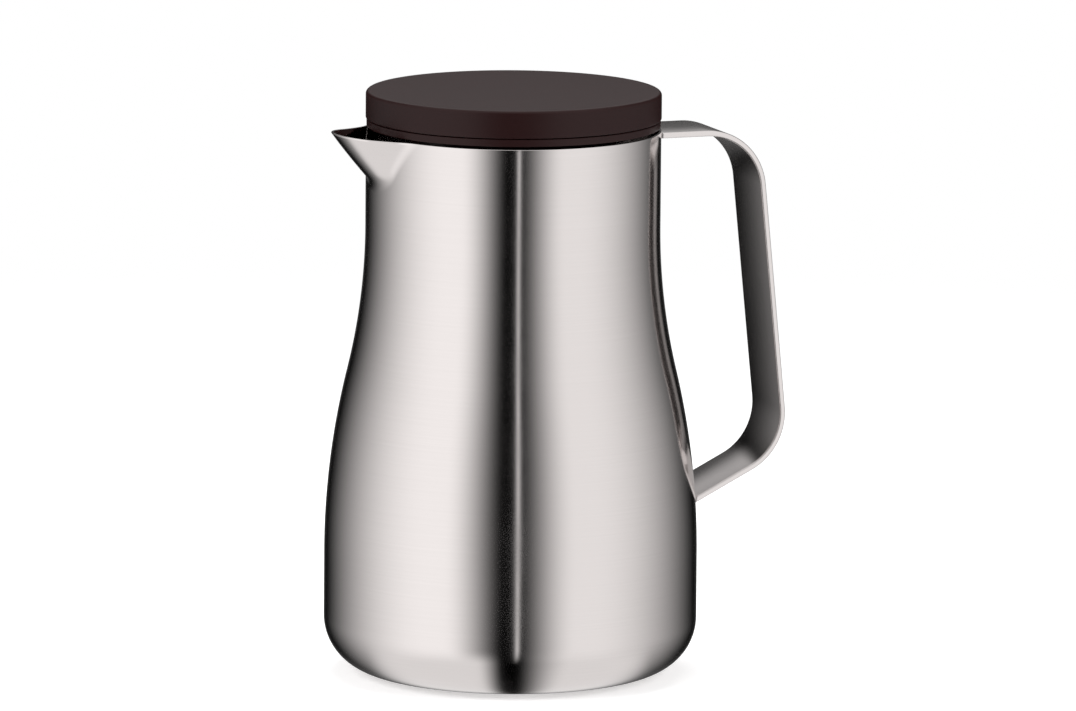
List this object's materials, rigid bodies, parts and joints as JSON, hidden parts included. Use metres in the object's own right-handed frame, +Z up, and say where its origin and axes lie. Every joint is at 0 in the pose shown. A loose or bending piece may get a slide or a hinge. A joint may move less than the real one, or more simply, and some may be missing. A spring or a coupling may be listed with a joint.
{
  "type": "insulated pouring carafe",
  "caption": "Double-walled steel carafe with a V spout, a bent strap handle and a screw lid whose stopper seals the flask; turning the lid lifts the seal for pouring.",
  "frame": {"origin": "centre of the foot ring's underside, on the carafe's axis", "axes": "+Z up along the carafe's axis, +X to the handle, -X to the spout"},
  "size_m": [0.1635, 0.13, 0.2042],
  "materials": {
    "brushed_steel": "satin, finely brushed",
    "inner_steel": "bright drawn sheet",
    "foil": "bright foil",
    "getter": "pressed powder",
    "plug_glass": "fused solder glass",
    "dark_plastic": "fine matt grain",
    "lid_plastic": "dark brown, fine satin grain",
    "collar_plastic": "moulded, satin",
    "silicone": "matt silicone",
    "seal_silicone": "translucent grey silicone",
    "foam": "open rigid foam"
  },
  "bodies": {
    "jug": {"outer_shell": "brushed_steel", "handle_strap": "brushed_steel", "inner_flask": "inner_steel", "bottom_pan": "inner_steel", "heat_foil": "foil", "getter_pill": "getter", "vacuum_plug": "plug_glass", "base_cover": "dark_plastic", "foot_ring": "silicone", "thread_collar": "collar_plastic", "collar_seal": "silicone"},
    "seal": {"seal_ring": "seal_silicone"},
    "lid": {"lid_cap": "lid_plastic", "stopper_body": "lid_plastic", "stopper_foam": "foam", "cap_o_ring": "silicone"}
  },
  "joints": [
    {"name": "lid_rise", "type": "slide", "parent": "jug", "child": "seal", "axis": [0, 0, 1], "range_m": [0, 0.064]},
    {"name": "lid_turn", "type": "hinge", "parent": "seal", "child": "lid", "pos_m": [0, 0, 0.1918], "axis": [0, 0, 1], "range_deg": [0, 1440]}
  ],
  "couplings": [
    {"joint": "lid_rise", "follows": "lid_turn", "m_per_rad": 0.0025465}
  ]
}
